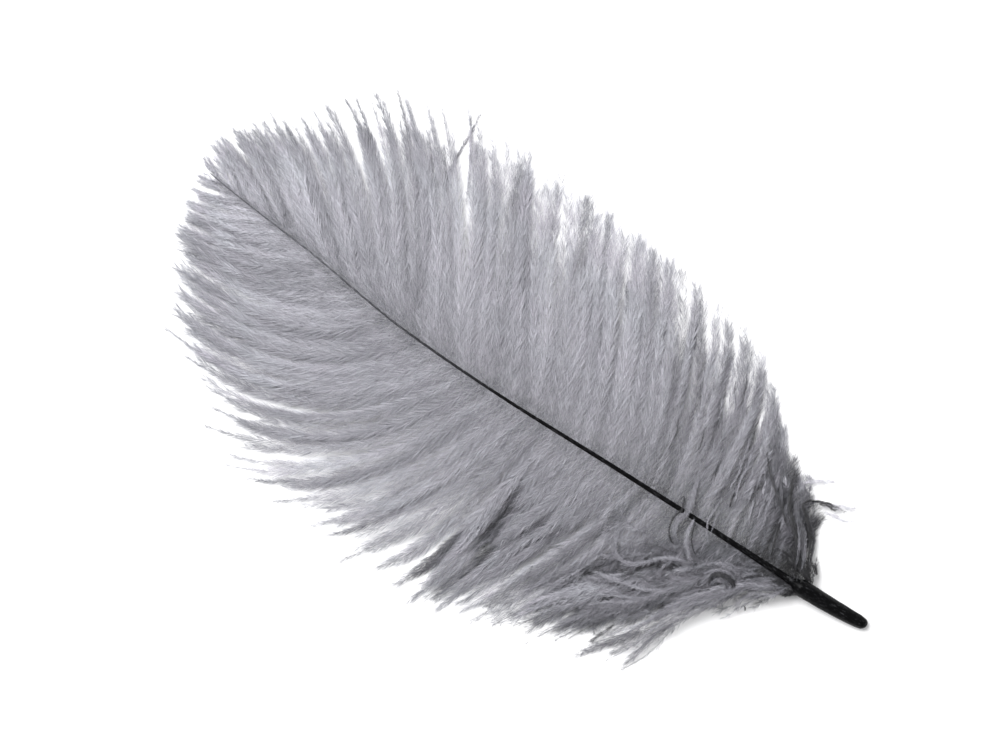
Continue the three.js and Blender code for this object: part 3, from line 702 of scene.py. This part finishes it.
def rami(barbs, thick):
    """The barbs' own stems: three-sided tubes that taper towards the tip."""
    points = barbs["points"]
    count, steps, _ = points.shape
    _, left, up = frames_along(points)
    run = np.linspace(0, 1, steps)
    radius = thick * (1 - 0.5 * run**1.5) * (1 + 0.2 * barbs["crisp"]) * barbs["stem"]
    radius[:, -1] *= 0.3
    turns = np.arange(RAMUS_SIDES) * math.tau / RAMUS_SIDES + math.pi / 2
    ring = left[:, :, None] * np.cos(turns)[:, None] + up[:, :, None] * np.sin(turns)[:, None]
    verts = points[:, :, None] + ring * radius[:, :, None, None]
    verts[..., 2] = np.maximum(verts[..., 2], LOWEST)
    index = np.arange(count * steps * RAMUS_SIDES).reshape(count, steps, RAMUS_SIDES)
    here, ahead = index[:, :-1], index[:, 1:]
    near, far = np.roll(here, -1, axis=2), np.roll(ahead, -1, axis=2)
    faces = np.stack([np.stack([here, near, far], -1), np.stack([here, far, ahead], -1)], -2)
    # stems paler where they stand out of the web: painted sheen
    tone = np.clip(barbs["tone"] + 0.01 + 0.10 * barbs["crisp"], DARKEST, PALEST)[:, :, None]
    tone = tone + (turns - turns.mean()) * TONE_STEP / 2
    v = RAMUS_V[0] + (RAMUS_V[1] - RAMUS_V[0]) * run[None, :, None] + 0 * tone
    uv = np.stack([tone, v], -1)
    return verts.reshape(-1, 3), faces.reshape(-1, 3), uv.reshape(-1, 2)


BARBULE_WIDTH = 0.055
CLUSTER = 0.30  # length of barb whose barbules cling together
SHADES = 65521  # a prime number of clusters that differ
LEAN, RISE = 28, -6  # degrees out from the barb and up from the web, before what changes along it
KITE = (0.36, 0.64)  # shares of a barbule before and after its widest place
TURNED = 0.45  # how far the flats of the barbules turn


def barbules(barbs, rng, per_mm, wild):
    """Two rows of long soft hairs along each barb. Each is a slim bent kite of two triangles.
    They stray by about wild degrees from their common lean."""
    points = barbs["points"]
    steps = points.shape[1]
    lengths = np.linalg.norm(np.diff(points, axis=1), axis=2).sum(axis=1)
    counts = np.maximum((lengths * per_mm).astype(int), 2)
    barb = np.repeat(np.arange(len(points)), counts)
    run = rng.uniform(0.0, 1.0, len(barb)) ** 1.2
    place = run * (steps - 1)
    kept = rng.uniform(size=len(barb)) < barbs["dense"][barb, place.astype(int)]
    barb, run, place = barb[kept], run[kept], place[kept]
    side = np.where(rng.uniform(size=len(barb)) < 0.5, 1.0, -1.0)
    i = np.minimum(place.astype(int), steps - 2)
    part = (place - i)[:, None]

    def read(values):
        rest, nearer = values[barb, i], values[barb, i + 1]
        mix = part if values.ndim == 3 else part[:, 0]
        return rest + (nearer - rest) * mix

    def noise(size):
        return rng.normal(0, size, len(run))

    ahead, left, up = frames_along(points)
    base, ahead, left, up = read(points), read(ahead), read(left), read(up)
    tone, fluff, along = (read(barbs[key]) for key in ("tone", "fluff", "along"))
    crisp, splay = read(barbs["crisp"]), read(barbs["splay"])
    cluster = (run * lengths[barb] / CLUSTER).astype(int)
    shared = rng.normal(0, 1, (SHADES, 4))[(barb * 997 + cluster * 2 + (side > 0)) % SHADES]
    lean = LEAN - 8 * fade(run, 0.1, 0.5) - 4 * fade(run, 0.5, 1) + 30 * (1 - fade(run, 0, 0.07))
    lean = lean + 0.6 * wild + splay + 2.5 * shared[:, 0] + noise(wild) + noise(0.4) * splay
    lean = np.radians(np.clip(lean, 2, 80))
    rise = np.radians(RISE - 12 * crisp + 8 * fade(run, 0.5, 1) + 10 * shared[:, 1] + noise(10))
    length = fluff * (0.28 + 0.95 * rng.uniform(size=len(run)) ** 0.8) * (1 + 0.06 * shared[:, 2])

    def heading(lean, rise):
        out = left * (side * np.cos(rise))[:, None] + up * np.sin(rise)[:, None]
        return ahead * np.cos(lean)[:, None] + out * np.sin(lean)[:, None]

    first = heading(lean, rise)
    second = heading(lean * 0.55, rise * 0.4)
    middle = base + first * (length * KITE[0])[:, None]
    tip = middle + second * (length * KITE[1])[:, None]
    facing = up + rng.normal(0, TURNED, base.shape)
    across = np.cross(facing, first)
    across /= np.linalg.norm(across, axis=1, keepdims=True)
    half = 0.5 * BARBULE_WIDTH * rng.uniform(0.7, 1.3, len(run))[:, None]
    verts = np.stack([base, middle - across * half, middle + across * half, tip], axis=1)
    verts[..., 2] = np.maximum(verts[..., 2], LOWEST)
    number = np.arange(len(run))[:, None] * 4
    faces = np.stack([number + [0, 1, 2], number + [3, 2, 1]], axis=1)
    # barbules darker where the stems stand out: painted shade between the stems
    tone = np.clip(tone - 0.05 * crisp + 0.03 * shared[:, 3] + noise(0.05), DARKEST, PALEST)
    v = BARBULE_V[0] + (BARBULE_V[1] - BARBULE_V[0]) * np.clip(along, 0, 1) * 0.94
    u4 = tone[:, None] + np.array([0, -TONE_STEP, TONE_STEP, 0])
    v4 = v[:, None] + np.array([0, 0.012, 0.012, 0.024])
    return verts.reshape(-1, 3), faces.reshape(-1, 3), np.stack([u4, v4], -1).reshape(-1, 2)


MOST_TRIANGLES = 190000  # in one piece


def add_fibres(name, barbs, rng, per_mm, wild, thick, material, slot, replaced):
    """A web's stems as one piece, and its barbules as a few pieces that follow each other."""
    make_piece(name + "_barbs", *rami(barbs, thick), material, slot, replaced)
    verts, faces, uv = barbules(barbs, rng, per_mm, wild)
    pieces = math.ceil(len(faces) / MOST_TRIANGLES)
    kites = np.array_split(np.arange(len(verts) // 4), pieces)
    for k, part in enumerate(kites):
        low, high = part[0], part[-1] + 1
        label = name + "_barbules" + ("_" + str(k + 1) if pieces > 1 else "")
        own = faces[low * 2:high * 2] - low * 4
        make_piece(label, verts[low * 4:high * 4], own, uv[low * 4:high * 4], material, slot, replaced)


# ---- materials

def colour(hex_value):
    """A linear colour from an sRGB hex value."""
    parts = [int(hex_value[i:i + 2], 16) / 255 for i in (1, 3, 5)]
    return [c / 12.92 if c <= 0.04045 else ((c + 0.055) / 1.055) ** 2.4 for c in parts] + [1.0]


def add_node(tree, kind, settings=(), **inputs):
    """Adds a node, sets its properties, and gives each input a value or the socket it comes from.
    An input is named by its label, or by i and its number where several share a label."""
    node = tree.nodes.new(kind)
    for key, value in dict(settings).items():
        setattr(node, key, value)
    for key, value in inputs.items():
        numbered = key[0] == "i" and key[1:].isdigit()
        socket = node.inputs[int(key[1:]) if numbered else key.replace("_", " ")]
        if isinstance(value, bpy.types.NodeSocket):
            tree.links.new(value, socket)
        else:
            socket.default_value = value
    return node


def new_material(name):
    material = bpy.data.materials.new(name)
    material.use_nodes = True
    material.node_tree.nodes.clear()
    return material


def finish_material(tree, shader):
    output = add_node(tree, "ShaderNodeOutputMaterial")
    tree.links.new(shader.outputs["BSDF"], output.inputs["Surface"])


def fibre_material(name, stops):
    """Dyed barbs: the tone of each fibre is its place across the UV map, from the darkest to the
    palest dye; in places the tone also holds painted shade and painted light. The dye also drifts
    a little along and across, between a cool and a warm grey."""
    material = new_material(name)
    tree = material.node_tree
    uv = add_node(tree, "ShaderNodeUVMap", {"uv_map": "OFBake"})
    axes = add_node(tree, "ShaderNodeSeparateXYZ", Vector=uv.outputs["UV"])
    ramp = add_node(tree, "ShaderNodeValToRGB", Fac=axes.outputs["X"])
    band = ramp.color_ramp
    for place, _ in stops[1:-1]:
        band.elements.new(place)
    for element, (place, value) in zip(band.elements, stops):
        element.position = place
        element.color = colour(value)
    cloud = add_node(tree, "ShaderNodeTexNoise", {"noise_dimensions": "2D"}, Vector=uv.outputs["UV"],
                     Scale=9.0, Detail=2.0)
    tint = add_node(tree, "ShaderNodeValToRGB", Fac=cloud.outputs["Fac"])
    tint.color_ramp.elements[0].position = 0.35
    tint.color_ramp.elements[0].color = colour("#f6f9fb")
    tint.color_ramp.elements[1].position = 0.65
    tint.color_ramp.elements[1].color = colour("#fbf8fd")
    dye = add_node(tree, "ShaderNodeMix", {"data_type": "RGBA", "blend_type": "MULTIPLY"}, i0=1.0,
                   i6=ramp.outputs["Color"], i7=tint.outputs["Color"])
    shader = add_node(tree, "ShaderNodeBsdfPrincipled", Base_Color=dye.outputs[2], Roughness=0.62, IOR=1.55)
    finish_material(tree, shader)
    return material


GREYS = [
    (0.0, "#0c0c0e"),
    (0.2, "#3a3a3d"),
    (0.4, "#6a6a6f"),
    (0.6, "#98979d"),
    (0.8, "#c2c1c7"),
    (1.0, "#e2e1e6"),
]
# each tone holds the dye, and in places painted shade and painted light
barb_dye_light_and_shade = fibre_material("barb_dye_light_and_shade", GREYS)
down_dye_light_and_shade = fibre_material("down_dye_light_and_shade", GREYS)


def keratin_material():
    """Dyed keratin: near black, half gloss, with dull grey-brown scuffs along the quill."""
    material = new_material("dyed_keratin")
    tree = material.node_tree
    where = add_node(tree, "ShaderNodeTexCoord")
    stretched = add_node(tree, "ShaderNodeMapping", Vector=where.outputs["Object"],
                         Scale=(800.0, 4200.0, 4200.0))
    scuffs = add_node(tree, "ShaderNodeTexNoise", Vector=stretched.outputs["Vector"], Scale=1.0,
                      Detail=4.0, Roughness=0.6)
    worn = add_node(tree, "ShaderNodeValToRGB", Fac=scuffs.outputs["Fac"])
    worn.color_ramp.elements[0].position = 0.56
    worn.color_ramp.elements[0].color = colour("#050506")
    worn.color_ramp.elements[1].position = 0.74
    worn.color_ramp.elements[1].color = colour("#3a3a3d")
    dull = add_node(tree, "ShaderNodeMapRange", i0=scuffs.outputs["Fac"], i1=0.4, i2=0.75, i3=0.3, i4=0.6)
    bump = add_node(tree, "ShaderNodeBump", Strength=0.25, Distance=0.00004, Height=scuffs.outputs["Fac"])
    axes = add_node(tree, "ShaderNodeSeparateXYZ", Vector=where.outputs["Object"])
    slender = add_node(tree, "ShaderNodeMapRange", i0=axes.outputs["X"], i1=(ORIGIN[0] + 84) * MM,
                       i2=(ORIGIN[0] + 152) * MM, i3=0.0, i4=1.0)
    dye = add_node(tree, "ShaderNodeMix", {"data_type": "RGBA"}, i0=slender.outputs["Result"],
                   i6=worn.outputs["Color"], i7=colour("#4e4e53"))
    shader = add_node(tree, "ShaderNodeBsdfPrincipled", Base_Color=dye.outputs[2],
                      Roughness=dull.outputs["Result"], Normal=bump.outputs["Normal"], IOR=1.54,
                      Specular_IOR_Level=0.06)
    finish_material(tree, shader)
    return material


dyed_keratin = keratin_material()

# ---- the shaft

RIDGES = 0.014  # height of the quill's long shallow ridges, as a share of its radius


def add_shaft():
    """The quill and rachis: a rounded copy of the frame's shaft, at its full radius, with ridges."""
    bpy.ops.object.select_all(action="DESELECT")
    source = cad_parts["shaft"]
    quill = bpy.data.objects.new("quill_and_rachis", source.data.copy())
    bpy.context.scene.collection.objects.link(quill)
    bpy.context.view_layer.objects.active = quill
    quill.select_set(True)
    bpy.ops.object.mode_set(mode="EDIT")
    bpy.ops.mesh.select_all(action="SELECT")
    bpy.ops.mesh.remove_doubles(threshold=0.000001)
    bpy.ops.mesh.tris_convert_to_quads(face_threshold=math.radians(40), shape_threshold=math.radians(40))
    bpy.ops.object.mode_set(mode="OBJECT")
    rounding = quill.modifiers.new("rounding", "SUBSURF")
    rounding.levels = rounding.render_levels = 2
    bpy.ops.object.modifier_apply(modifier="rounding")
    points = np.array([v.co for v in quill.data.vertices]) / MM - ORIGIN
    station = points[:, 0]
    middle = np.stack([shaft_out(station), shaft_height(station)], axis=-1)
    spoke = points[:, 1:] - middle
    size = np.maximum(np.linalg.norm(spoke, axis=1), 1e-6)
    angle = np.arctan2(spoke[:, 1], spoke[:, 0])
    ridges = np.sin(7 * angle + 1.3 * np.sin(station / 2.1)) + 0.7 * np.sin(1.9 * station + 3 * angle)
    full = shaft_radius(station) * (1 + RIDGES * ridges * (1 - fade(station, 13, 17)))
    kept = fade(station, 0.35, 0.9) * (1 - fade(station, 155.5, 156.5))
    points[:, 1:] = middle + spoke * (1 + kept * (full / size - 1))[:, None]
    quill.data.vertices.foreach_set("co", ((points + ORIGIN) * MM).astype(np.float32).ravel())
    quill.data.update()
    bpy.ops.object.shade_smooth()
    quill.data.materials.clear()
    quill.data.materials.append(dyed_keratin)
    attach(quill, "root")
    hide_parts("shaft")


add_shaft()

# ---- the webs

PER_MM = 22.0  # barbules along a millimetre of barb, both sides together
SWEEP = [(0.0, 3.4), (0.2, 4.9), (0.4, 4.9), (0.6, 3.6), (0.8, 2.1), (1.0, 0.8)]  # place along, height


def sweeping_height(roots, along):
    """The long downy barbs rise over the web that they cross before they come down."""
    return table_value(SWEEP, along) + 0.3 * np.sin(roots[:, None] * 3.1)


rng = np.random.default_rng(160)
right_barbs = grow_web(RIGHT_WEB, rng)
left_barbs = grow_web(LEFT_WEB, rng)
under_barbs = grow_web(UNDER_WEB, rng, wander=0.5)
sweeping_barbs = grow_web(SWEEPING_WEB, rng, every=0.25, wander=1.2, lift=sweeping_height)
right_base_barbs = grow_web(RIGHT_BASE_WEB, rng, every=0.45, wander=0.4)
left_strands = grow_strands(LEFT_STRANDS, LEFT_TUFTS, rng)
right_strands = grow_strands(RIGHT_STRANDS, RIGHT_TUFTS, rng)

add_fibres("right_vane", right_barbs, rng, PER_MM, 7, 0.075, barb_dye_light_and_shade, "vane_barbs", "right_vane")
add_fibres("left_vane", left_barbs, rng, PER_MM, 7, 0.075, barb_dye_light_and_shade, "vane_barbs", "left_vane")
add_fibres("left_under_down", under_barbs, rng, 18, 12, 0.07, down_dye_light_and_shade, "base_down", "left_down")
add_fibres("left_sweeping_down", sweeping_barbs, rng, 16, 14, 0.06, down_dye_light_and_shade, "base_down", "left_down")
add_fibres("right_down", right_base_barbs, rng, 34, 16, 0.06, down_dye_light_and_shade, "base_down", "right_down")
add_fibres("left_curls", left_strands, rng, 12.5, 18, 0.035, down_dye_light_and_shade, "base_down", "left_down")
add_fibres("right_curls", right_strands, rng, 12.5, 12, 0.035, down_dye_light_and_shade, "base_down", "right_down")

# ---- table, light and camera

VIEW_WIDTH = 195.3  # of the picture, at the height of the webs
VIEW_MIDDLE = (87.4, 0.8)  # station and distance out that the picture is centred on
VIEW_TURN = 214.76  # degrees; the quill points down to the right
WEB_HEIGHT = 4.0
LENS, SENSOR = 100.0, 36.0


def add_camera():
    camera = bpy.data.cameras.new("camera")
    camera.lens = LENS
    camera.sensor_width = SENSOR
    holder = bpy.data.objects.new("camera", camera)
    middle = np.array([*VIEW_MIDDLE, WEB_HEIGHT + VIEW_WIDTH * LENS / SENSOR]) + ORIGIN
    holder.location = Vector(middle * MM)
    holder.rotation_euler = (0, 0, math.radians(VIEW_TURN))
    bpy.context.scene.collection.objects.link(holder)
    bpy.context.scene.camera = holder


def add_light(name, place, size, power):
    lamp = bpy.data.lights.new(name, "AREA")
    lamp.shape = "DISK"
    lamp.size = size
    lamp.energy = power
    holder = bpy.data.objects.new(name, lamp)
    holder.location = place
    holder.rotation_euler = (-Vector(place)).to_track_quat("-Z", "Y").to_euler()
    bpy.context.scene.collection.objects.link(holder)


def add_table():
    bpy.ops.object.select_all(action="DESELECT")
    bpy.ops.mesh.primitive_circle_add(vertices=64, radius=8.0, fill_type="NGON", location=(0, 0, -0.00005))
    table = bpy.context.object
    table.name = "table"
    material = new_material("white_table")
    tree = material.node_tree
    shader = add_node(tree, "ShaderNodeBsdfPrincipled", Base_Color=colour("#f4f4f5"), Roughness=0.9)
    finish_material(tree, shader)
    table.data.materials.append(material)


def add_world():
    world = bpy.data.worlds.new("studio")
    world.use_nodes = True
    background = world.node_tree.nodes["Background"]
    background.inputs["Color"].default_value = (1, 1, 1, 1)
    background.inputs["Strength"].default_value = 0.6
    bpy.context.scene.world = world


add_camera()
add_table()
add_world()
add_light("soft_light", (0.5, -0.12, 0.78), 0.6, 13.0)
bpy.context.scene.view_settings.view_transform = "Standard"
